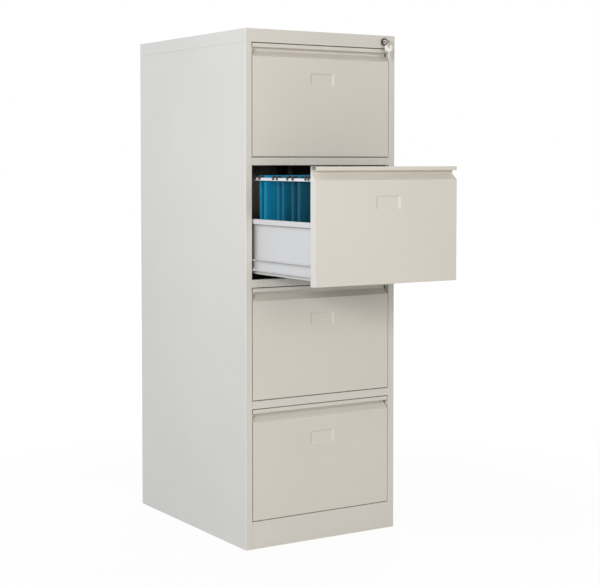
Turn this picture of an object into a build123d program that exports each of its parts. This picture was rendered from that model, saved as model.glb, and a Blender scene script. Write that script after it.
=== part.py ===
from build123d import *
from math import cos, radians, sin, sqrt
import os

# Four-drawer steel filing cabinet with one drawer standing open on a few hanging files.
# Millimetres, +Z up, front towards -Y, origin on the floor under the middle of the case.

# Case of folded sheet
cabinet_width = 460.0
cabinet_depth = 600.0
sheet = 1.0
bend = 2.0
tight_bend = 0.8
edge_round = 0.8
drawer_count = 4
cap_height = 34.0
plinth_height = 70.0
cross_rail_height = 20.0
stile_width = 19.0
front_return = 16.0
seam_flange = 10.0
rear_return = 14.0
pan_flange = 18.0
upright_width = 40.0
upright_setback = 48.0

# Drawer fronts
front_height = 285.0
front_depth = 22.0
front_gap = 2.0
front_round = 1.2
lip_height = 10.0
recess_height = 23.0
recess_wall = 8.0
recess_depth = 18.0
label_width = 72.0
label_height = 35.0
label_drop = 70.0
label_depth = 2.0
label_slope = 5.0
thumb_width = 24.0
thumb_height = 7.0

# Drawer bodies
body_length = 560.0
body_raise = 13.0
side_height = 139.0
roll_height = 12.5
roll_width = 9.0
back_drop = 40.0
file_rail_thickness = 3.0
file_rail_height = 7.0
file_rail_gap = 1.5
file_rail_drop = 32.5

# Telescopic runners
runner_space = 13.0
runner_sheet = 1.2
runner_length = 550.0
runner_start_gap = 2.0
runner_rise = 23.0
cabinet_member_height = 12.0
cabinet_member_flange = 10.0
drawer_member_height = 28.5
drawer_member_flange = 11.5
link_flange = 6.5
link_setback = 122.0
running_gap = 0.3
glide_length = 180.0
glide_width = 4.5
open_drawer = 2
open_distance = 294.0

# Lock, its bar and its key
lock_inset = 36.0
lock_turn = 90.0
bezel_diameter = 20.5
bezel_proud = 4.0
bezel_round = 1.3
barrel_diameter = 18.0
barrel_length = 22.0
plug_diameter = 12.0
plug_proud = 0.4
plug_overhang = 1.5
lock_clearance = 0.2
nut_diameter = 25.0
nut_thickness = 3.0
cam_sheet = 1.5
cam_radius = 9.0
cam_margin = 3.5
pin_diameter = 5.0
pin_clearance = 0.4
bar_sheet = 2.0
bar_width = 6.5
bar_gap = 1.0
arm_height = 14.0
tab_height = 10.0
tab_rise = 94.0
tab_reach = 4.0
catch_gap = 2.0
catch_sheet = 1.5
catch_height = 14.0
catch_length = 18.0
catch_reach = 11.0
catch_lift = 3.0
guide_height = 14.0
guide_wall = 2.0
guide_rise = 200.0
key_thickness = 2.0
key_blade_width = 7.0
key_blade_length = 20.0
key_bow_width = 18.0
key_bow_length = 15.0
key_neck_width = 9.0
key_neck_length = 2.5
key_corner = 5.0
key_hole_diameter = 5.5
key_hole_inset = 5.5
ring_radius = 7.0
ring_wire = 1.4
ring_chord = 10.0

# Hanging files in the open drawer: the middle of each file and the half width of its mouth
file_places = ((58.0, 8.5), (135.0, 14.5), (206.0, 11.0), (291.5, 13.0))
card = 0.8
file_end_gap = 11.0
file_rise = 10.0
file_base = 14.0
file_floor_gap = 12.0
file_bar_height = 6.0
file_bar_thickness = 1.6
file_bar_drop = 8.0
file_bar_overrun = 3.0
hook_thickness = 5.5
hook_cover = 4.5
hook_lip = 2.7
hook_drop = 5.0

# Places that follow from the sizes above
half_width = cabinet_width / 2
front_y = -cabinet_depth / 2
rear_y = cabinet_depth / 2
bay_height = front_height + 2 * front_gap
drawer_pitch = bay_height + cross_rail_height
case_top = plinth_height + drawer_count * drawer_pitch - cross_rail_height
cabinet_height = case_top + cap_height
opening_half = half_width - stile_width
front_half = opening_half - front_gap
inner_half = half_width - sheet
corner_half = half_width - bend
body_half = opening_half - runner_space
body_front = front_depth + sheet
back_inner = rear_y - 2 * sheet
runner_start = body_front + runner_start_gap
drawer_flange_inner = drawer_member_height / 2 - runner_sheet
link_length = runner_length - link_setback
link_middle = (drawer_flange_inner + cabinet_member_height / 2) / 2
link_half = link_middle + runner_sheet / 2
link_inner = link_middle - runner_sheet / 2
link_face = body_half + runner_sheet + running_gap
glide_x = link_face + link_flange - glide_width
lock_x = half_width - lock_inset
lock_z = case_top + cap_height / 2
plug_end = barrel_length + plug_overhang
bar_y = plug_end + cam_sheet + bar_gap
bar_x = opening_half + sheet + running_gap
lock_lift = 2 * cam_radius * sin(radians(lock_turn / 2))
pin_x = cam_radius * cos(radians(lock_turn / 2))
pin_z = lock_z - lock_lift / 2
file_rail_x = body_half - sheet - file_rail_gap - file_rail_thickness / 2
half_file = file_rail_x - file_end_gap
file_rail_z = front_height - file_rail_drop
back_height = front_height - back_drop
file_rail_top = file_rail_z + file_rail_height / 2

os.makedirs("parts", exist_ok=True)


def front_bottom(n):
    """Height of the lower edge of drawer front n, counted from the top."""
    return plinth_height + front_gap + (drawer_count - n) * drawer_pitch


def drawn_out(n):
    """How far drawer n stands open."""
    return open_distance if n == open_drawer else 0.0


def block(low, high, mode=Mode.ADD):
    """A box between two corners."""
    size = [b - a for a, b in zip(low, high)]
    with Locations(tuple((a + b) / 2 for a, b in zip(low, high))):
        Box(*size, mode=mode)


def folded(points, radius, side, thickness=sheet):
    """The section of a folded sheet: a skin with rounded bends, thickened to one side."""
    with BuildLine() as skin:
        FilletPolyline(*points, radius=radius)
        offset(amount=thickness, side=side)
    make_face(skin.edges())


# Side panels: skin, front stile and rear return in one fold, with a flange that carries the cap
for hand, name in ((-1, "side_panel_left"), (1, "side_panel_right")):
    with BuildPart() as side_panel:
        with BuildSketch(Plane.XY):
            folded(
                [
                    (opening_half, front_y + front_return),
                    (opening_half, front_y),
                    (half_width, front_y),
                    (half_width, rear_y),
                    (half_width - rear_return, rear_y),
                ],
                [tight_bend, bend, bend],
                Side.LEFT,
            )
        extrude(amount=case_top)
        block(
            (half_width - seam_flange, front_y + sheet, case_top - sheet),
            (half_width - edge_round, back_inner, case_top),
        )
        outer_edges = side_panel.edges().filter_by(Axis.Y).group_by(Axis.X)[-1]
        fillet(outer_edges.sort_by(Axis.Z)[-1], radius=edge_round)
        if hand < 0:
            mirror(about=Plane.YZ, mode=Mode.REPLACE)
    side_panel.part.label = name
    export_step(side_panel.part, f"parts/{name}.step")

# Back panel, inside the rear returns
with BuildPart() as back_panel:
    block((-corner_half, back_inner, 0), (corner_half, back_inner + sheet, case_top))
back_panel.part.label = "back_panel"
export_step(back_panel.part, "parts/back_panel.step")

# Top cap: a lid with a skirt all round, turned in at its foot, and a hole for the lock
with BuildPart() as top_cap:
    block((-half_width, front_y, case_top), (half_width, rear_y, cabinet_height))
    fillet(top_cap.edges().filter_by(Axis.Z), radius=bend)
    fillet(top_cap.faces().sort_by(Axis.Z)[-1].edges(), radius=bend)
    fillet(top_cap.faces().sort_by(Axis.Z)[0].edges(), radius=edge_round)
    block(
        (-inner_half, front_y + sheet, case_top + sheet),
        (inner_half, rear_y - sheet, cabinet_height - sheet),
        Mode.SUBTRACT,
    )
    block(
        (seam_flange - half_width, front_y + seam_flange, case_top),
        (half_width - seam_flange, rear_y - seam_flange, case_top + sheet),
        Mode.SUBTRACT,
    )
    with Locations(Plane((lock_x, front_y, lock_z), x_dir=(1, 0, 0), z_dir=(0, -1, 0))):
        Cylinder(barrel_diameter / 2 + lock_clearance, 4 * sheet, mode=Mode.SUBTRACT)
top_cap.part.label = "top_cap"
export_step(top_cap.part, "parts/top_cap.step")

# Base pan, flat on the floor, turned up at the front and the back
with BuildPart() as base_pan:
    with BuildSketch(Plane.YZ):
        folded(
            [
                (front_y + front_return, pan_flange),
                (front_y + front_return, 0),
                (back_inner, 0),
                (back_inner, pan_flange),
            ],
            tight_bend,
            Side.LEFT,
        )
    extrude(amount=inner_half, both=True)
base_pan.part.label = "base_pan"
export_step(base_pan.part, "parts/base_pan.step")

# Kick plate between the stiles, turned back at its top
with BuildPart() as kick_plate:
    with BuildSketch(Plane.YZ):
        folded(
            [(front_y + front_return, plinth_height), (front_y, plinth_height), (front_y, 0)],
            tight_bend,
            Side.LEFT,
        )
    extrude(amount=opening_half, both=True)
kick_plate.part.label = "kick_plate"
export_step(kick_plate.part, "parts/kick_plate.step")

# Channel rails between the drawers
with BuildPart() as cross_rails:
    for n in range(1, drawer_count):
        foot = front_bottom(n) - front_gap - cross_rail_height
        head = foot + cross_rail_height
        with BuildSketch(Plane.YZ):
            folded(
                [
                    (front_y + front_return, head),
                    (front_y, head),
                    (front_y, foot),
                    (front_y + front_return, foot),
                ],
                tight_bend,
                Side.LEFT,
            )
        extrude(amount=opening_half, both=True)
cross_rails.part.label = "cross_rails"
export_step(cross_rails.part, "parts/cross_rails.step")

# Uprights inside the side panels: channels that carry the runners
for hand, name in ((-1, "uprights_left"), (1, "uprights_right")):
    with BuildPart() as uprights:
        for near in (front_y + upright_setback, rear_y - upright_setback - upright_width):
            with BuildSketch(Plane.XY.offset(sheet)):
                folded(
                    [
                        (inner_half, near + upright_width),
                        (opening_half, near + upright_width),
                        (opening_half, near),
                        (inner_half, near),
                    ],
                    tight_bend,
                    Side.LEFT,
                )
            extrude(amount=case_top - 2 * sheet)
        if hand < 0:
            mirror(about=Plane.YZ, mode=Mode.REPLACE)
    uprights.part.label = name
    export_step(uprights.part, f"parts/{name}.step")

# Fixed runner members on the uprights, one pair for each drawer
with BuildPart() as cabinet_runners:
    for n in range(1, drawer_count + 1):
        middle = front_bottom(n) + body_raise + runner_rise
        head = middle + cabinet_member_height / 2
        foot = middle - cabinet_member_height / 2
        with BuildSketch(Plane.XZ.offset(-front_y - runner_start)):
            folded(
                [
                    (opening_half - cabinet_member_flange, head),
                    (opening_half, head),
                    (opening_half, foot),
                    (opening_half - cabinet_member_flange, foot),
                ],
                bend,
                Side.RIGHT,
                runner_sheet,
            )
        extrude(amount=-runner_length)
    mirror(about=Plane.YZ)
cabinet_runners.part.label = "cabinet_runners"
export_step(cabinet_runners.part, "parts/cabinet_runners.step")

for n in range(1, drawer_count + 1):
    base = front_bottom(n)
    face = front_y - drawn_out(n)
    floor_z = base + body_raise
    body_start = face + body_front
    body_end = body_start + body_length
    middle = floor_z + runner_rise
    lip_z = base + front_height - lip_height
    wall_z = lip_z - recess_wall
    slope_z = lip_z - recess_height
    top_z = base + front_height

    # Drawer front: one pressed pan with a folded lip over a finger recess
    with BuildPart() as front:
        with BuildSketch(Plane.YZ):
            folded(
                [
                    (face + front_depth, base),
                    (face, base),
                    (face, slope_z),
                    (face + recess_depth, wall_z),
                    (face + recess_depth, lip_z),
                    (face, lip_z),
                    (face, top_z),
                    (face + front_depth, top_z),
                ],
                front_round,
                Side.RIGHT,
            )
        extrude(amount=front_half, both=True)
        for end in (-front_half, front_half - sheet):
            with BuildSketch(Plane.YZ.offset(end)) as cheek:
                with BuildLine():
                    Polyline(
                        (face, base),
                        (face + front_depth, base),
                        (face + front_depth, lip_z),
                        (face + recess_depth, lip_z),
                        (face + recess_depth, wall_z),
                        (face, slope_z),
                        close=True,
                    )
                make_face()
                corner = cheek.vertices().group_by(Axis.Y)[0]
                fillet(corner, radius=front_round)
            extrude(amount=sheet)
        label_top = top_z - label_drop
        label_foot = label_top - label_height
        for margin, rim_y, floor_y, mode in (
            (sheet, face + sheet / 2, face + label_depth + sheet, Mode.ADD),
            (0, face, face + label_depth, Mode.SUBTRACT),
        ):
            for depth_y, inset in ((rim_y, -margin), (floor_y, label_slope - margin)):
                with BuildSketch(Plane.XZ.offset(-depth_y)):
                    with Locations((0, (label_top + label_foot) / 2)):
                        Rectangle(label_width - 2 * inset, label_height - 2 * inset)
            loft(mode=mode)
        with BuildSketch(Plane.XZ.offset(-face)):
            with Locations((0, label_foot)):
                Ellipse(thumb_width / 2, thumb_height)
                Rectangle(thumb_width, thumb_height, align=(Align.CENTER, Align.MAX), mode=Mode.SUBTRACT)
        extrude(amount=-label_depth)
    front.part.label = f"drawer_{n}_front"
    export_step(front.part, f"parts/drawer_{n}_front.step")

    # Flat sheet that closes the back of the front
    with BuildPart() as inner_front:
        block((-front_half, face + front_depth, base), (front_half, body_start, top_z))
    inner_front.part.label = f"drawer_{n}_inner_front"
    export_step(inner_front.part, f"parts/drawer_{n}_inner_front.step")

    # Low sides, each with its top edge rolled outwards
    with BuildPart() as sides:
        with BuildSketch(Plane.XZ.offset(-body_start)):
            folded(
                [
                    (body_half - sheet, floor_z),
                    (body_half - sheet, floor_z + side_height),
                    (body_half + roll_width, floor_z + side_height),
                    (body_half + roll_width, floor_z + side_height - roll_height),
                ],
                bend,
                Side.RIGHT,
            )
        extrude(amount=-body_length)
        mirror(about=Plane.YZ)
    sides.part.label = f"drawer_{n}_sides"
    export_step(sides.part, f"parts/drawer_{n}_sides.step")

    # Floor and tall back in one fold
    with BuildPart() as tray:
        with BuildSketch(Plane.YZ):
            folded(
                [(body_start, floor_z), (body_end, floor_z), (body_end, floor_z + back_height)],
                bend,
                Side.LEFT,
            )
        extrude(amount=body_half - sheet, both=True)
    tray.part.label = f"drawer_{n}_tray"
    export_step(tray.part, f"parts/drawer_{n}_tray.step")

    # Bars that carry hanging files, from the inner front to the back
    with BuildPart() as file_rails:
        half_rail = file_rail_thickness / 2
        block(
            (file_rail_x - half_rail, body_start, base + file_rail_top - file_rail_height),
            (file_rail_x + half_rail, body_end - sheet, base + file_rail_top),
        )
        mirror(about=Plane.YZ)
    file_rails.part.label = f"drawer_{n}_file_rails"
    export_step(file_rails.part, f"parts/drawer_{n}_file_rails.step")

    # Runner members on the drawer sides, which the other members slide in
    with BuildPart() as runners:
        with BuildSketch(Plane.XZ.offset(-body_start)):
            folded(
                [
                    (body_half + drawer_member_flange, middle + drawer_member_height / 2),
                    (body_half, middle + drawer_member_height / 2),
                    (body_half, middle - drawer_member_height / 2),
                    (body_half + drawer_member_flange, middle - drawer_member_height / 2),
                ],
                bend,
                Side.LEFT,
                runner_sheet,
            )
        extrude(amount=-runner_length)
        mirror(about=Plane.YZ)
    runners.part.label = f"drawer_{n}_runners"
    export_step(runners.part, f"parts/drawer_{n}_runners.step")

    # Middle runner members, which travel half as far as the drawer
    link_start = front_y + runner_start + link_setback - drawn_out(n) / 2
    link_end = link_start + link_length
    with BuildPart() as links:
        with BuildSketch(Plane.XZ.offset(-link_start)):
            folded(
                [
                    (link_face + link_flange, middle + link_half),
                    (link_face, middle + link_half),
                    (link_face, middle - link_half),
                    (link_face + link_flange, middle - link_half),
                ],
                bend,
                Side.LEFT,
                runner_sheet,
            )
        extrude(amount=-link_length)
        mirror(about=Plane.YZ)
    links.part.label = f"drawer_{n}_links"
    export_step(links.part, f"parts/drawer_{n}_links.step")

    # Glide strips on the middle members: the outer pair at the front, the inner pair at the rear
    with BuildPart() as glides:
        for up in (-1, 1):
            for near, far, start in (
                (link_half, drawer_flange_inner - running_gap, link_start),
                (cabinet_member_height / 2 + running_gap, link_inner, link_end - glide_length),
            ):
                heights = sorted((middle + up * near, middle + up * far))
                block(
                    (glide_x, start, heights[0]),
                    (glide_x + glide_width, start + glide_length, heights[1]),
                )
        mirror(about=Plane.YZ)
    glides.part.label = f"drawer_{n}_glides"
    export_step(glides.part, f"parts/drawer_{n}_glides.step")

    # Angle on the right side that the lock bar catches
    catch_z = base + tab_rise + tab_height + catch_lift
    catch_y = face + bar_y + bar_sheet + catch_gap
    with BuildPart() as lock_catch:
        corner = (body_half, catch_y, catch_z)
        block(corner, (body_half + catch_sheet, catch_y + catch_length, catch_z + catch_height))
        block(corner, (body_half + catch_reach, catch_y + catch_sheet, catch_z + catch_height))
    lock_catch.part.label = f"drawer_{n}_lock_catch"
    export_step(lock_catch.part, f"parts/drawer_{n}_lock_catch.step")

# Lock housing: bezel and barrel in the cap's front, held by a ring nut behind it
lock_axis = Plane((lock_x, front_y, lock_z), x_dir=(1, 0, 0), z_dir=(0, 1, 0))
with BuildPart() as lock_housing:
    with BuildSketch(lock_axis.offset(-bezel_proud)):
        Circle(bezel_diameter / 2)
    extrude(amount=bezel_proud)
    fillet(lock_housing.edges().sort_by(Axis.Y)[0], radius=bezel_round)
    with BuildSketch(lock_axis):
        Circle(barrel_diameter / 2)
    extrude(amount=barrel_length)
    with BuildSketch(lock_axis.offset(-bezel_proud)):
        Circle(plug_diameter / 2 + lock_clearance)
    extrude(amount=bezel_proud + barrel_length, mode=Mode.SUBTRACT)
lock_housing.part.label = "lock_housing"
export_step(lock_housing.part, "parts/lock_housing.step")

with BuildPart() as lock_nut:
    with BuildSketch(lock_axis.offset(sheet)):
        RegularPolygon(nut_diameter / 2, 6)
        Circle(barrel_diameter / 2 + lock_clearance, mode=Mode.SUBTRACT)
    extrude(amount=nut_thickness)
lock_nut.part.label = "lock_nut"
export_step(lock_nut.part, "parts/lock_nut.step")

# Turning plug with its keyway
plug_front = -bezel_proud - plug_proud
with BuildPart() as lock_plug:
    with BuildSketch(lock_axis.offset(plug_front)):
        Circle(plug_diameter / 2)
    extrude(amount=plug_end - plug_front)
    with BuildSketch(lock_axis.offset(plug_front)):
        Rectangle(key_blade_width + 2 * lock_clearance, key_thickness + 2 * lock_clearance)
    extrude(amount=key_blade_length + lock_clearance, mode=Mode.SUBTRACT)
lock_plug.part.label = "lock_plug"
export_step(lock_plug.part, "parts/lock_plug.step")

# Cam on the plug's end, with the pin that lifts the bar
with BuildPart() as lock_cam:
    with BuildSketch(lock_axis.offset(plug_end)):
        Circle(plug_diameter / 2)
        with Locations((pin_x, lock_lift / 2)):
            Circle(cam_margin)
        make_hull()
    extrude(amount=cam_sheet)
    with BuildSketch(lock_axis.offset(plug_end + cam_sheet)):
        with Locations((pin_x, lock_lift / 2)):
            Circle(pin_diameter / 2)
    extrude(amount=bar_gap + bar_sheet)
lock_cam.part.label = "lock_cam"
export_step(lock_cam.part, "parts/lock_cam.step")

# Lock bar: a stamped strip with a slotted arm for the cam pin and a tab for each drawer
bar_front = front_y + bar_y
bar_rear = bar_front + bar_sheet
slot_left = lock_x + pin_x - pin_diameter / 2 - pin_clearance
slot_right = lock_x + cam_radius + pin_diameter / 2 + pin_clearance
slot_half = pin_diameter / 2 + pin_clearance
with BuildPart() as lock_bar:
    block(
        (bar_x, bar_front, front_bottom(drawer_count) + tab_rise),
        (bar_x + bar_width, bar_rear, pin_z + arm_height / 2),
    )
    block(
        (slot_left - bar_sheet, bar_front, pin_z - arm_height / 2),
        (bar_x + bar_width, bar_rear, pin_z + arm_height / 2),
    )
    block(
        (slot_left, bar_front, pin_z - slot_half),
        (slot_right, bar_rear, pin_z + slot_half),
        Mode.SUBTRACT,
    )
    for n in range(1, drawer_count + 1):
        tab_z = front_bottom(n) + tab_rise
        block((body_half + tab_reach, bar_front, tab_z), (bar_x, bar_rear, tab_z + tab_height))
lock_bar.part.label = "lock_bar"
export_step(lock_bar.part, "parts/lock_bar.step")

# Guides on the side panel that the bar slides in
with BuildPart() as lock_bar_guides:
    for n in range(1, drawer_count + 1):
        guide_z = front_bottom(n) + guide_rise
        block(
            (bar_x - guide_wall, bar_front - guide_wall, guide_z),
            (inner_half, bar_rear + guide_wall, guide_z + guide_height),
        )
        block(
            (bar_x - running_gap, bar_front - running_gap, guide_z),
            (bar_x + bar_width + running_gap, bar_rear + running_gap, guide_z + guide_height),
            Mode.SUBTRACT,
        )
lock_bar_guides.part.label = "lock_bar_guides"
export_step(lock_bar_guides.part, "parts/lock_bar_guides.step")

# Key in the lock, with its bow lying level
bow_rear = front_y + plug_front - key_neck_length
bow_front = bow_rear - key_bow_length
key_hole_y = bow_front + key_hole_inset
blade_tip = front_y + plug_front + key_blade_length
with BuildPart() as key:
    with BuildSketch(Plane.XY.offset(lock_z - key_thickness / 2)):
        with Locations((lock_x, (bow_rear + bow_front) / 2)):
            RectangleRounded(key_bow_width, key_bow_length, key_corner)
        with Locations((lock_x, bow_rear - key_corner)):
            neck_length = key_corner + key_neck_length - lock_clearance
            Rectangle(key_neck_width, neck_length, align=(Align.CENTER, Align.MIN))
        with Locations((lock_x, bow_rear)):
            Rectangle(key_blade_width, blade_tip - bow_rear, align=(Align.CENTER, Align.MIN))
        with Locations((lock_x, key_hole_y)):
            Circle(key_hole_diameter / 2, mode=Mode.SUBTRACT)
    extrude(amount=key_thickness)
key.part.label = "key"
export_step(key.part, "parts/key.step")

# Ring through the key's hole and round the end of its bow
ring_y = key_hole_y - ring_chord / 2
ring_z = lock_z - sqrt(ring_radius**2 - (ring_chord / 2) ** 2)
with BuildPart() as key_ring:
    with Locations(Plane((lock_x, ring_y, ring_z), x_dir=(0, 1, 0), z_dir=(1, 0, 0))):
        Torus(ring_radius, ring_wire / 2)
key_ring.part.label = "key_ring"
export_step(key_ring.part, "parts/key_ring.step")

# Hanging files of folded card in the open drawer
file_face = front_y - open_distance
file_base_z = front_bottom(open_drawer)
file_top = file_base_z + file_rail_top + file_rise - hook_cover
file_foot = file_base_z + body_raise + sheet + file_floor_gap
bar_top = file_top - file_bar_drop
with BuildPart() as file_pockets:
    for place, mouth in file_places:
        middle_y = file_face + place
        with BuildSketch(Plane.YZ):
            folded(
                [
                    (middle_y - mouth, file_top),
                    (middle_y - file_base / 2, file_foot),
                    (middle_y + file_base / 2, file_foot),
                    (middle_y + mouth, file_top),
                ],
                bend,
                Side.LEFT,
                card,
            )
        extrude(amount=half_file, both=True)
file_pockets.part.label = "file_pockets"
export_step(file_pockets.part, "parts/file_pockets.step")

# Stiffening bars along both mouths of each file
half_bar = half_file + file_bar_overrun
bar_foot = bar_top - file_bar_height
bar_places = []
for place, mouth in file_places:
    climb = (bar_foot - file_foot) / (file_top - file_foot)
    inside = file_base / 2 + (mouth - file_base / 2) * climb - card - lock_clearance
    bar_places += [
        file_face + place - inside + file_bar_thickness / 2,
        file_face + place + inside - file_bar_thickness / 2,
    ]
with BuildPart() as file_bars:
    for bar_middle in bar_places:
        block(
            (-half_bar, bar_middle - file_bar_thickness / 2, bar_foot),
            (half_bar, bar_middle + file_bar_thickness / 2, bar_top),
        )
file_bars.part.label = "file_bars"
export_step(file_bars.part, "parts/file_bars.step")

# Hooks on the bars' ends, over the file rails
rail_inner = file_rail_x - file_rail_thickness / 2 - running_gap
rail_outer = file_rail_x + file_rail_thickness / 2 + running_gap
rail_top = file_base_z + file_rail_top
hook_under = rail_top + running_gap
with BuildPart() as file_hooks:
    for bar_middle in bar_places:
        with BuildSketch(Plane.XZ.offset(-bar_middle - hook_thickness / 2)):
            with BuildLine():
                Polyline(
                    (half_bar, bar_foot),
                    (rail_inner, bar_foot),
                    (rail_inner, hook_under),
                    (rail_outer, hook_under),
                    (rail_outer, rail_top - hook_drop),
                    (rail_outer + hook_lip, rail_top - hook_drop),
                    (rail_outer + hook_lip, hook_under + hook_cover),
                    (half_bar, hook_under + hook_cover),
                    close=True,
                )
            make_face()
        extrude(amount=hook_thickness)
    mirror(about=Plane.YZ)
file_hooks.part.label = "file_hooks"
export_step(file_hooks.part, "parts/file_hooks.step")
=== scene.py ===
from math import cos, pi, sin

import bpy
import numpy as np
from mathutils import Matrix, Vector


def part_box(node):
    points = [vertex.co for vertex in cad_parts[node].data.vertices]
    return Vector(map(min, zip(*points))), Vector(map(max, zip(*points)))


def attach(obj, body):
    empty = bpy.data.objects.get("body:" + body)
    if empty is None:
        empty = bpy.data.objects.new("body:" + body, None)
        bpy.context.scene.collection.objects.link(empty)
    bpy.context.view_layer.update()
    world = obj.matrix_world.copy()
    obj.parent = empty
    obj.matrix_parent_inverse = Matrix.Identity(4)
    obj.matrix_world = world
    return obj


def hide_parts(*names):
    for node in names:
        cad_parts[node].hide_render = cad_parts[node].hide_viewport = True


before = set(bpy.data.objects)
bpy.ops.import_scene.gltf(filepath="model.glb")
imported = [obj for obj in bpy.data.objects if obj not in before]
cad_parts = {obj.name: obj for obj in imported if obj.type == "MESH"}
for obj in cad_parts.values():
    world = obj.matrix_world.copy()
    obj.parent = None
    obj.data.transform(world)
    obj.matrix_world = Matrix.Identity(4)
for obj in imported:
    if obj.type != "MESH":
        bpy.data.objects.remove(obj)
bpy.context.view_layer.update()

# Camera: stands to the left of the cabinet's front, a little below the height of its top drawer,
# and looks almost level. The frame is shifted down, so that upright edges stay nearly upright.
camera_place = Vector((-2.0259, -3.4195, 0.9873))
camera_azimuth = -0.5604
camera_tilt = 0.0479
focal_pixels = 1434.2
image_width = 600
image_height = 586
axis_row = 230
camera_data = bpy.data.cameras.new("camera")
camera_data.sensor_width = 36.0
camera_data.lens = focal_pixels / image_width * camera_data.sensor_width
camera_data.shift_y = (axis_row - image_height / 2) / image_width
camera = bpy.data.objects.new("camera", camera_data)
towards_camera = Vector((
    sin(camera_azimuth) * cos(camera_tilt),
    -cos(camera_azimuth) * cos(camera_tilt),
    sin(camera_tilt),
))
camera.location = camera_place
camera.rotation_euler = (-towards_camera).to_track_quat("-Z", "Y").to_euler()
bpy.context.scene.collection.objects.link(camera)
bpy.context.scene.camera = camera

# Case: side and back panels, cap, kick plate and rails of folded steel sheet, spot-welded and then
# powder coated. The coat is a satin light grey with the fine orange peel that powder leaves when it
# melts.
case_pale = (0.640, 0.630, 0.580)
case_shade = (0.612, 0.604, 0.556)
case_nodes = [
    "side_panel_left", "side_panel_right", "back_panel", "top_cap", "kick_plate", "cross_rails",
]
coat_roughness = 0.45
coat_glossy = 0.40
coat_matt = 0.52
coat_cloud_scale = 2.2
coat_mottle_scale = 90.0
coat_peel_scale = 650.0
coat_peel_strength = 0.10
coat_peel_height = 0.0004


def bare_finish(name, roughness, metallic=0.0):
    """A new material with a plain shader, its node tree and that shader."""
    finish = bpy.data.materials.new(name)
    finish.use_nodes = True
    shader = finish.node_tree.nodes["Principled BSDF"]
    shader.inputs["Roughness"].default_value = roughness
    shader.inputs["Metallic"].default_value = metallic
    return finish, finish.node_tree, shader


def grain(tree, scale, detail=2.0, stretch=(1.0, 1.0, 1.0)):
    """Noise on the piece's own coordinates: scale is in lumps per metre, and a stretch below one makes
    them longer along that axis."""
    place = tree.nodes.new("ShaderNodeTexCoord")
    mapping = tree.nodes.new("ShaderNodeMapping")
    mapping.inputs["Scale"].default_value = stretch
    noise = tree.nodes.new("ShaderNodeTexNoise")
    noise.inputs["Scale"].default_value = scale
    noise.inputs["Detail"].default_value = detail
    tree.links.new(place.outputs["Object"], mapping.inputs["Vector"])
    tree.links.new(mapping.outputs["Vector"], noise.inputs["Vector"])
    return noise.outputs["Fac"]


def two_tone(tree, shader, fac, shade, pale, low=0.35, high=0.65):
    """Colours the shader from shade to pale as the noise rises from low to high."""
    ramp = tree.nodes.new("ShaderNodeValToRGB")
    ramp.color_ramp.elements[0].position = low
    ramp.color_ramp.elements[0].color = (*shade, 1.0)
    ramp.color_ramp.elements[1].position = high
    ramp.color_ramp.elements[1].color = (*pale, 1.0)
    tree.links.new(fac, ramp.inputs["Fac"])
    tree.links.new(ramp.outputs["Color"], shader.inputs["Base Color"])


def uneven_gloss(tree, shader, fac, glossy, matt, low=0.3, high=0.7):
    """Takes the roughness from glossy to matt in a straight line as the noise rises from low to high."""
    spread = tree.nodes.new("ShaderNodeMapRange")
    spread.inputs["From Min"].default_value = low
    spread.inputs["From Max"].default_value = high
    spread.inputs["To Min"].default_value = glossy
    spread.inputs["To Max"].default_value = matt
    tree.links.new(fac, spread.inputs["Value"])
    tree.links.new(spread.outputs["Result"], shader.inputs["Roughness"])


def relief(tree, shader, fac, strength, height):
    """Raises the surface by the noise, up to a height in metres."""
    bump = tree.nodes.new("ShaderNodeBump")
    bump.inputs["Strength"].default_value = strength
    bump.inputs["Distance"].default_value = height
    tree.links.new(fac, bump.inputs["Height"])
    tree.links.new(bump.outputs["Normal"], shader.inputs["Normal"])


def powder_coat(name, shade, pale):
    """Satin powder coat: faint cloudy tone, uneven gloss and a fine orange peel."""
    finish, tree, shader = bare_finish(name, coat_roughness)
    clouds = grain(tree, coat_cloud_scale, detail=4.0)
    peel = grain(tree, coat_peel_scale, detail=1.0)
    two_tone(tree, shader, clouds, shade, pale)
    uneven_gloss(tree, shader, grain(tree, coat_mottle_scale), coat_glossy, coat_matt)
    relief(tree, shader, peel, coat_peel_strength, coat_peel_height)
    return finish


def dress(node_names, finish):
    """Gives CAD nodes their finish."""
    for name in node_names:
        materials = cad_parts[name].data.materials
        materials.clear()
        materials.append(finish)


dress(case_nodes, powder_coat("case_coat", case_shade, case_pale))

# Inside of the case: the base pan and the uprights that carry the runners, of folded sheet. Their coat
# is coloured darker than the outside's: painted shade, for the inside of the case lies in shadow.
inside_light_shaded = (0.50, 0.49, 0.455)
inside_dark_shaded = (0.46, 0.45, 0.42)
inside_painted_shade_coat = powder_coat("inside_painted_shade_coat", inside_dark_shaded, inside_light_shaded)
dress(["base_pan", "uprights_left", "uprights_right"], inside_painted_shade_coat)

# Drawer fronts: each is one pressed sheet with a folded lip over a slanting finger recess and a
# shallow pressed place for a label. The coat is the case's, sprayed in another batch.
front_pale = (0.645, 0.625, 0.568)
front_shade = (0.620, 0.600, 0.546)
drawers = range(1, 5)
dress([f"drawer_{n}_front" for n in drawers], powder_coat("front_coat", front_shade, front_pale))

# Drawer bodies: low sides with a rolled edge, an inner front, a floor and a tall back, all of coated
# sheet. The runner members beside them wear the same coat. Floor and back, which only show when the
# drawer is empty, are coloured much darker: painted shade, for the inside of the drawer lies in shadow.
body_pale = (0.590, 0.590, 0.576)
body_shade = (0.568, 0.568, 0.555)
tray_light_shaded = (0.38, 0.375, 0.35)
tray_dark_shaded = (0.34, 0.335, 0.31)
body_pieces = ["inner_front", "sides", "runners", "links"]
body_coat = powder_coat("body_coat", body_shade, body_pale)
dress([f"drawer_{n}_{piece}" for n in drawers for piece in body_pieces], body_coat)
dress([f"drawer_{n}_tray" for n in drawers], powder_coat("tray_painted_shade_coat", tray_dark_shaded, tray_light_shaded))

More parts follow.
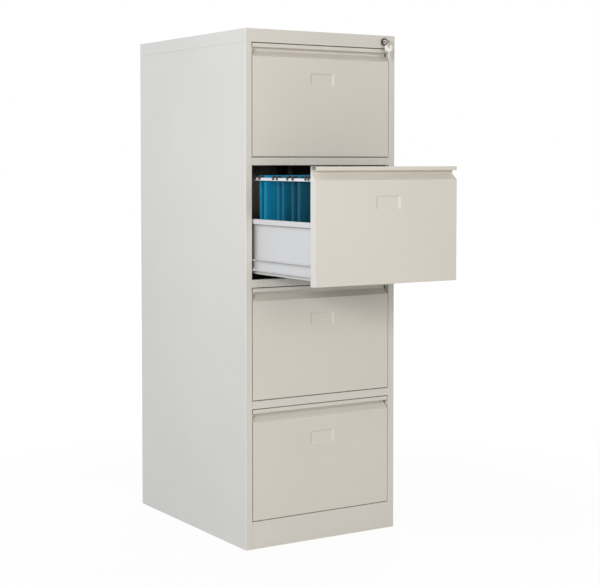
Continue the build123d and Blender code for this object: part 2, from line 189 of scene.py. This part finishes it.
# File rails: flat steel bars painted white, fixed between the drawer's inner front and its back. The
# hooks have rubbed the paint along their length.
rail_pale = (0.70, 0.70, 0.715)
rail_rubbed = (0.60, 0.60, 0.615)
rail_paint, tree, shader = bare_finish("rail_paint", roughness=0.35)
rubbing = grain(tree, scale=40.0, detail=3.0, stretch=(1.0, 0.2, 1.0))
two_tone(tree, shader, rubbing, rail_rubbed, rail_pale, low=0.25, high=0.45)
relief(tree, shader, grain(tree, scale=500.0), strength=0.08, height=0.0003)
dress([f"drawer_{n}_file_rails" for n in drawers], rail_paint)

# Hidden ironwork: the case's runner channels, lock bar, cam and catches and the bars in the files are
# cold-rolled steel, zinc plated. Rolling leaves fine lines along their length.
zinc_pale = (0.66, 0.67, 0.68)
zinc_dull = (0.54, 0.55, 0.57)
zinc_nodes = [
    "cabinet_runners", "lock_nut", "lock_cam", "lock_bar", "lock_bar_guides", "file_bars",
]
zinc, tree, shader = bare_finish("zinc_plate", roughness=0.38, metallic=1.0)
rolled = grain(tree, scale=260.0, detail=3.0, stretch=(1.0, 0.04, 1.0))
two_tone(tree, shader, rolled, zinc_dull, zinc_pale)
uneven_gloss(tree, shader, rolled, glossy=0.30, matt=0.46)
relief(tree, shader, rolled, strength=0.10, height=0.0002)
dress(zinc_nodes, zinc)
dress([f"drawer_{n}_lock_catch" for n in drawers], zinc)

# Glide strips: natural nylon, moulded and clipped between the runner members. They are scuffed along
# the way they slide.
nylon_pale = (0.84, 0.84, 0.81)
nylon_scuffed = (0.74, 0.73, 0.70)
nylon, tree, shader = bare_finish("nylon", roughness=0.5)
shader.inputs["Subsurface Weight"].default_value = 0.15
shader.inputs["Subsurface Scale"].default_value = 0.002
scuffs = grain(tree, scale=120.0, detail=3.0, stretch=(1.0, 0.1, 1.0))
two_tone(tree, shader, scuffs, nylon_scuffed, nylon_pale)
dress([f"drawer_{n}_glides" for n in drawers], nylon)

# Lock: a chrome housing in the cap's right-hand corner, with a plug in plain chrome. The housing is
# coloured near black, a painted dark reflection. Turning keys have left fine smears on both.
chrome_dark_reflection_painted = (0.090, 0.090, 0.088)
plain_chrome = (0.50, 0.51, 0.50)
for node, colour in (("lock_housing", chrome_dark_reflection_painted), ("lock_plug", plain_chrome)):
    chrome, tree, shader = bare_finish(f"{node}_chrome", roughness=0.12, metallic=1.0)
    shader.inputs["Base Color"].default_value = (*colour, 1.0)
    smears = grain(tree, scale=220.0, detail=3.0)
    uneven_gloss(tree, shader, smears, glossy=0.08, matt=0.20)
    dress([node], chrome)

# Key and ring: nickel plate over brass. Both are coloured dark, at random towards brown: painted
# shade, for the key in the lock and the ring hanging from it are seen on their shadowed undersides.
key_light_shaded = (0.34, 0.31, 0.28)
key_brown_shaded = (0.22, 0.18, 0.14)
key_and_ring_shaded, tree, shader = bare_finish("key_painted_shade", roughness=0.34, metallic=1.0)
tarnish = grain(tree, scale=130.0, detail=4.0)
two_tone(tree, shader, tarnish, key_brown_shaded, key_light_shaded, low=0.30, high=0.60)
uneven_gloss(tree, shader, grain(tree, scale=400.0), glossy=0.28, matt=0.44)
dress(["key", "key_ring"], key_and_ring_shaded)

# Spare key: a second stamped key that hangs from the ring by the hole in its bow. It is hardly used,
# so its nickel is bright. Its blade is grooved down the middle and notched along one edge.
nickel_pale = (0.80, 0.76, 0.68)
nickel_worn = (0.72, 0.64, 0.50)
nickel, tree, shader = bare_finish("key_nickel", roughness=0.30, metallic=1.0)
tarnish = grain(tree, scale=130.0, detail=4.0)
two_tone(tree, shader, tarnish, nickel_worn, nickel_pale, low=0.28, high=0.48)
uneven_gloss(tree, shader, grain(tree, scale=400.0), glossy=0.24, matt=0.40)
blade_pale = (0.46, 0.50, 0.51)
blade_shade = (0.34, 0.37, 0.38)
blade_steel, tree, shader = bare_finish("blade_steel", roughness=0.36, metallic=1.0)
milling = grain(tree, scale=300.0, detail=3.0, stretch=(1.0, 1.0, 0.08))
two_tone(tree, shader, milling, blade_shade, blade_pale)
uneven_gloss(tree, shader, grain(tree, scale=400.0), glossy=0.30, matt=0.44)
spare_thickness = 0.002
spare_bow_width = 0.024
spare_bow_height = 0.018
spare_bow_power = 4
spare_bow_rays = 72
spare_rim_share = 0.03
spare_hole_radius = 0.00275
spare_hole_inset = 0.005
spare_blade_length = 0.020
spare_blade_width = 0.012
spare_blade_rows = 61
spare_blade_overlap = 0.0005
spare_blade_thinned = 0.98
spare_groove = 0.0005
spare_groove_share = 0.3
spare_notch = 0.0016
spare_notches_per_blade = 5
spare_notch_start = 0.2
spare_notch_end = 0.9
spare_point_share = 0.5
spare_tip_share = 0.20
spare_play = 0.0003
ring_wire = 0.0014
ring_low, ring_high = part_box("key_ring")
spare_x = (ring_low.x + ring_high.x) / 2
spare_y = (ring_low.y + ring_high.y) / 2
spare_hole_z = ring_low.z + ring_wire / 2 - (spare_hole_radius - ring_wire / 2 - spare_play)


def closed_grid(rows, columns):
    """Quads of a grid that closes on itself both ways: each joins a point to the next ones along its row
    and column. A grid that is open one way drops the last quads of that way."""
    along, around = np.meshgrid(np.arange(rows), np.arange(columns), indexing="ij")
    after = (along + 1) % rows
    beside = (around + 1) % columns
    corners = [
        along * columns + around,
        along * columns + beside,
        after * columns + beside,
        after * columns + around,
    ]
    return np.stack(corners, axis=-1)


def mesh_piece(name, points, faces, finish):
    """A new object from an array of points and a list of faces, in its finish."""
    mesh = bpy.data.meshes.new(name)
    mesh.from_pydata(points.reshape(-1, 3).tolist(), [], faces)
    mesh.materials.append(finish)
    mesh.validate()
    mesh.update()
    piece = bpy.data.objects.new(name, mesh)
    bpy.context.scene.collection.objects.link(piece)
    return piece


def spare_bow():
    """A plate with a hole: each ray from the hole runs out to a rounded rectangle, a superellipse of
    power 4, and the section goes over the front face, round the rim and back behind."""
    turn = np.linspace(0.0, 2 * pi, spare_bow_rays, endpoint=False)
    power = spare_bow_power
    reach = (np.abs(np.cos(turn)) ** power + np.abs(np.sin(turn)) ** power) ** (-1 / power)
    bow_middle_z = spare_hole_inset - spare_bow_height / 2
    rim_x = reach * np.cos(turn) * spare_bow_width / 2
    rim_z = reach * np.sin(turn) * spare_bow_height / 2 + bow_middle_z
    hole_x = spare_hole_radius * np.cos(turn)
    hole_z = spare_hole_radius * np.sin(turn)
    near, far = spare_rim_share, 1.0 - spare_rim_share
    share = np.array([near, 0.5, far, 1.0, far, 0.5, near, 0.0])
    depth = np.array([-1.0, -1.0, -1.0, 0.0, 1.0, 1.0, 1.0, 0.0]) * spare_thickness / 2
    x = hole_x[:, None] + share * (rim_x - hole_x)[:, None]
    z = hole_z[:, None] + share * (rim_z - hole_z)[:, None]
    y = np.broadcast_to(depth, x.shape)
    points = np.stack([spare_x + x, spare_y + y, spare_hole_z + z], axis=-1)
    return points, closed_grid(*x.shape).reshape(-1, 4).tolist()


def spare_blade():
    """A bar hung below the bow: its section is a rectangle with a groove down each face, its right edge
    is notched by a squared sine, and it narrows to a point over its lower half."""
    along = np.linspace(0.0, 1.0, spare_blade_rows)
    notched = (along > spare_notch_start) * (along < spare_notch_end)
    notch = spare_notch * np.sin(along * spare_notches_per_blade * pi) ** 2 * notched
    taper = np.clip((1.0 - along) / spare_point_share, spare_tip_share, 1.0)
    across_face = np.array([-1.0, -spare_groove_share, 0.0, spare_groove_share, 1.0])
    across = np.concatenate([across_face, across_face[::-1]])
    half = spare_thickness / 2
    face_depth = np.array([half, half, half - spare_groove, half, half]) * spare_blade_thinned
    depth = np.concatenate([-face_depth, face_depth])
    cut_back = np.where(across == 1.0, notch[:, None], 0.0)
    x = across * taper[:, None] * spare_blade_width / 2 - cut_back
    z_top = spare_hole_inset - spare_bow_height + spare_blade_overlap
    z = np.broadcast_to((z_top - along * spare_blade_length)[:, None], x.shape)
    y = np.broadcast_to(depth, x.shape)
    points = np.stack([spare_x + x, spare_y + y, spare_hole_z + z], axis=-1)
    sides = closed_grid(*x.shape)[:-1].reshape(-1, 4)
    row = np.arange(len(across))
    top_end = row[::-1]
    tip_end = row + (len(along) - 1) * len(across)
    return points, [*sides.tolist(), top_end.tolist(), tip_end.tolist()]


spare_pieces = (
    ("spare_key_bow", spare_bow(), nickel),
    ("spare_key_blade", spare_blade(), blade_steel),
)
for name, (points, faces), finish in spare_pieces:
    piece = mesh_piece(name, points, faces, finish)
    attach(piece, "key_ring")

# Hanging files: pockets of dyed card, each folded to a flat foot and hemmed over a steel bar along
# both mouths. The card bellies a little between foot and hem and waves along its width. The blue is
# darker on each file further forward: painted shade, for the drawer front shades the front files.
file_blues_and_shade = (
    (0.013, 0.100, 0.145),
    (0.010, 0.115, 0.185),
    (0.006, 0.148, 0.252),
    (0.0045, 0.250, 0.430),
)
card_deep_share = 0.82
card_thickness = 0.0006
card_inset = 0.0004
card_width_steps = 41
card_wall_steps = 28
card_bend_steps = 9
hem_depth = 0.020
hem_room = 0.0028
hem_steps = 8
foot_half = 0.007
foot_rise = 0.006
belly = 0.0018
wave = 0.0014
wave_count = 2.3
wave_shift = 1.9
mouth_band = 0.002
file_count = len(file_blues_and_shade)
card_low, card_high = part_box("file_pockets")
pocket_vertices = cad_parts["file_pockets"].data.vertices
pocket_points = np.empty(3 * len(pocket_vertices))
pocket_vertices.foreach_get("co", pocket_points)
pocket_points = pocket_points.reshape(-1, 3)
at_mouth = pocket_points[:, 2] > card_high.z - mouth_band
mouth_points = np.unique(pocket_points[at_mouth, 1].round(4))
gaps = np.argsort(np.diff(mouth_points))[-(2 * file_count - 1):]
mouth_edges = np.split(mouth_points, np.sort(gaps) + 1)


def dyed_card(name, blue_and_shade):
    """Dyed card: a streaky tone, a dry uneven gloss and a fibrous surface."""
    finish, tree, shader = bare_finish(name, roughness=0.62)
    shader.inputs["Specular IOR Level"].default_value = 0.2
    deep = tuple(card_deep_share * part for part in blue_and_shade)
    streaks = grain(tree, scale=30.0, detail=4.0, stretch=(1.0, 1.0, 0.35))
    fibres = grain(tree, scale=1400.0, detail=3.0, stretch=(1.0, 1.0, 0.4))
    two_tone(tree, shader, streaks, deep, blue_and_shade, low=0.30, high=0.62)
    uneven_gloss(tree, shader, grain(tree, scale=240.0, detail=3.0), glossy=0.55, matt=0.70)
    relief(tree, shader, fibres, strength=0.18, height=0.0002)
    return finish


def hanging_file(front_y, rear_y, phase):
    """A card section carried across the drawer. The section runs up the front hem, round the fold, down
    the wall, round the foot, up the far wall and down the other hem. Walls are straight lines with a
    half sine of belly, and a slow sine across the width waves them most at mid height."""
    middle = (front_y + rear_y) / 2
    half_mouth = (rear_y - front_y) / 2 - card_inset
    wall_foot = card_low.z + foot_rise
    wall_top = card_high.z - hem_room / 2
    wall_z = np.linspace(wall_top, wall_foot, card_wall_steps)
    climb = (wall_z - wall_foot) / (wall_top - wall_foot)
    wall_y = foot_half + (half_mouth - foot_half) * climb + belly * np.sin(pi * climb)
    fold = np.linspace(0.0, pi, card_bend_steps)[1:-1]
    fold_y = wall_y[0] - hem_room / 2 - hem_room / 2 * np.cos(fold)
    fold_z = wall_top + hem_room / 2 * np.sin(fold)
    hem_z = np.linspace(wall_top - hem_depth, wall_top, hem_steps)
    hem_y = np.interp(hem_z, wall_z[::-1], wall_y[::-1]) - hem_room
    foot = np.linspace(0.0, pi / 2, card_bend_steps)[1:]
    half_y = np.concatenate([hem_y, fold_y, wall_y, foot_half * np.cos(foot)])
    half_z = np.concatenate([hem_z, fold_z, wall_z, wall_foot - foot_rise * np.sin(foot)])
    side = np.concatenate([-np.ones(len(half_y)), np.ones(len(half_y) - 1)])
    section_y = np.concatenate([half_y, half_y[-2::-1]]) * side
    section_z = np.concatenate([half_z, half_z[-2::-1]])
    height = np.clip((section_z - wall_foot) / (wall_top - wall_foot), 0.0, 1.0)
    width_x = np.linspace(card_low.x, card_high.x, card_width_steps)
    ripple = np.sin(wave_count * pi * width_x / card_high.x + phase)
    y = middle + section_y + wave * np.outer(ripple, 4 * height * (1 - height) * side)
    x = np.broadcast_to(width_x[:, None], y.shape)
    z = np.broadcast_to(section_z, y.shape)
    quads = closed_grid(*y.shape)[:-1, :-1].reshape(-1, 4)
    return np.stack([x, y, z], axis=-1), quads.tolist()


for number, blue_and_shade in enumerate(file_blues_and_shade):
    front_y = mouth_edges[2 * number].min()
    rear_y = mouth_edges[2 * number + 1].max()
    points, quads = hanging_file(front_y, rear_y, wave_shift * number)
    card = dyed_card(f"file_card_{number + 1}", blue_and_shade)
    pocket = mesh_piece(f"hanging_file_{number + 1}", points, quads, card)
    pocket.data.polygons.foreach_set("use_smooth", np.ones(len(quads), bool))
    wall = pocket.modifiers.new("card", "SOLIDIFY")
    wall.thickness = card_thickness
    wall.offset = 0.0
    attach(pocket, "files")
    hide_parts("file_pockets")

# File hooks: black moulded ends clipped on the files' bars, which hang over the file rails. They have
# the faint sheen of polished tooling.
hook_black = (0.018, 0.018, 0.020)
hook_grey = (0.032, 0.032, 0.034)
hook_plastic, tree, shader = bare_finish("hook_plastic", roughness=0.3)
two_tone(tree, shader, grain(tree, scale=300.0), hook_black, hook_grey)
uneven_gloss(tree, shader, grain(tree, scale=500.0), glossy=0.24, matt=0.40)
dress(["file_hooks"], hook_plastic)

# Floor: a white sheet that shows white to the camera and keeps a little of the cabinet's shadow. It
# glows more far away, where the lamps hardly reach it, so that no horizon shows.
floor_half = 14.0
floor_drop = 0.0003
floor_grey = 0.45
shadow_share = 0.12
near_reach = 0.8
near_glow = 1.06
far_reach = 3.0
far_glow = 1.15
floor_mesh = bpy.data.meshes.new("floor")
floor_corners = floor_half * np.array([[-1, -1, 0], [1, -1, 0], [1, 1, 0], [-1, 1, 0]], float)
floor_corners[:, 2] = -floor_drop
floor_mesh.from_pydata(floor_corners.tolist(), [], [[0, 1, 2, 3]])
floor = bpy.data.objects.new("floor", floor_mesh)
bpy.context.scene.collection.objects.link(floor)


def backdrop_rays(tree):
    """One for rays that see the backdrop straight, mirrored or through glass, and nought for those that
    light the object: the largest of the three flags."""
    path = tree.nodes.new("ShaderNodeLightPath")
    seen = path.outputs["Is Camera Ray"]
    for flag in ("Is Glossy Ray", "Is Transmission Ray"):
        larger = tree.nodes.new("ShaderNodeMath")
        larger.operation = "MAXIMUM"
        tree.links.new(seen, larger.inputs[0])
        tree.links.new(path.outputs[flag], larger.inputs[1])
        seen = larger.outputs["Value"]
    return seen


floor_finish, tree, shader = bare_finish("floor_white", roughness=0.9)
shader.inputs["Base Color"].default_value = (floor_grey, floor_grey, floor_grey, 1.0)
place = tree.nodes.new("ShaderNodeTexCoord")
distance = tree.nodes.new("ShaderNodeVectorMath")
distance.operation = "LENGTH"
glow_level = tree.nodes.new("ShaderNodeMapRange")
glow_level.inputs["From Min"].default_value = near_reach
glow_level.inputs["From Max"].default_value = far_reach
glow_level.inputs["To Min"].default_value = near_glow
glow_level.inputs["To Max"].default_value = far_glow
glow = tree.nodes.new("ShaderNodeEmission")
seen_share = tree.nodes.new("ShaderNodeMath")
seen_share.operation = "MULTIPLY"
seen_share.inputs[1].default_value = 1.0 - shadow_share
blend = tree.nodes.new("ShaderNodeMixShader")
tree.links.new(place.outputs["Object"], distance.inputs[0])
tree.links.new(distance.outputs["Value"], glow_level.inputs["Value"])
tree.links.new(glow_level.outputs["Result"], glow.inputs["Strength"])
tree.links.new(backdrop_rays(tree), seen_share.inputs[0])
tree.links.new(seen_share.outputs["Value"], blend.inputs["Fac"])
tree.links.new(shader.outputs["BSDF"], blend.inputs[1])
tree.links.new(glow.outputs["Emission"], blend.inputs[2])
tree.links.new(blend.outputs["Shader"], tree.nodes["Material Output"].inputs["Surface"])
floor_mesh.materials.append(floor_finish)

# Studio light: a white room all round, a cool soft box on the left, a small neutral one off the corner,
# which draws the edges of the pressed label places, a warm one in front and a large one behind.
room_level = 0.40
cool_white = (0.79, 0.83, 1.0)
plain_white = (1.0, 1.0, 1.0)
warm_white = (1.0, 0.910, 0.815)
world = bpy.data.worlds.new("room")
bpy.context.scene.world = world
world.use_nodes = True
tree = world.node_tree
room = tree.nodes["Background"]
room.inputs["Color"].default_value = (*plain_white, 1.0)
room.inputs["Strength"].default_value = room_level
backdrop = tree.nodes.new("ShaderNodeBackground")
backdrop.inputs["Color"].default_value = (*plain_white, 1.0)
choice = tree.nodes.new("ShaderNodeMixShader")
tree.links.new(backdrop_rays(tree), choice.inputs["Fac"])
tree.links.new(room.outputs["Background"], choice.inputs[1])
tree.links.new(backdrop.outputs["Background"], choice.inputs[2])
tree.links.new(choice.outputs["Shader"], tree.nodes["World Output"].inputs["Surface"])


def soft_box(name, place, aim, size, power, colour):
    """A square area lamp at a place, turned to an aim."""
    lamp = bpy.data.lights.new(name, "AREA")
    lamp.shape = "SQUARE"
    lamp.size = size
    lamp.energy = power
    lamp.color = colour
    box = bpy.data.objects.new(name, lamp)
    box.location = place
    box.rotation_euler = (Vector(aim) - Vector(place)).to_track_quat("-Z", "Y").to_euler()
    bpy.context.scene.collection.objects.link(box)


soft_box("left_box", (-3.2, 0.1, 2.7), aim=(0.0, 0.0, 0.8), size=2.0, power=53.0, colour=cool_white)
soft_box("corner_box", (-3.2, -2.6, 1.7), aim=(0.0, 0.0, 0.7), size=0.8, power=68.0, colour=plain_white)
soft_box("front_box", (-0.4, -4.4, 1.5), aim=(0.0, 0.0, 0.6), size=2.2, power=58.0, colour=warm_white)
soft_box("back_box", (3.3, 3.5, 2.4), aim=(0.0, 0.0, 0.7), size=3.0, power=100.0, colour=plain_white)
bpy.context.scene.view_settings.view_transform = "Standard"
